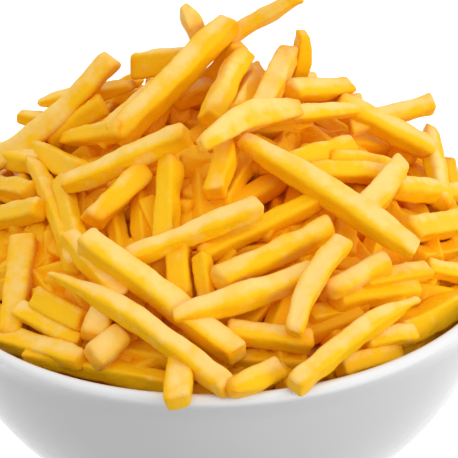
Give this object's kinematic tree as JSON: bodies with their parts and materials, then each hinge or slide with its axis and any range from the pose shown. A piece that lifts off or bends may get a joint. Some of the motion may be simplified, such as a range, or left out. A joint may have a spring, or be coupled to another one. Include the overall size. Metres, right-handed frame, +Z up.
{
  "type": "french fries portion",
  "caption": "Heaped portion of thin square-cut french fries in a deep round white porcelain bowl with a rounded lip and a foot ring.",
  "frame": {"origin": "on the table, at the middle of the bottom of the bounding box, which is the bowl's own axis to within a millimetre", "axes": "+Z up, along the bowl's axis; -Y is the serving side, where a few fries hang over the lip"},
  "size_m": [0.2, 0.2118, 0.1665],
  "materials": {
    "porcelain": "glossy white glaze",
    "fried_potato": "golden fried crust with a slight oily sheen"
  },
  "bodies": {
    "root": {"bowl": "porcelain", "fries": "fried_potato"}
  },
  "joints": []
}
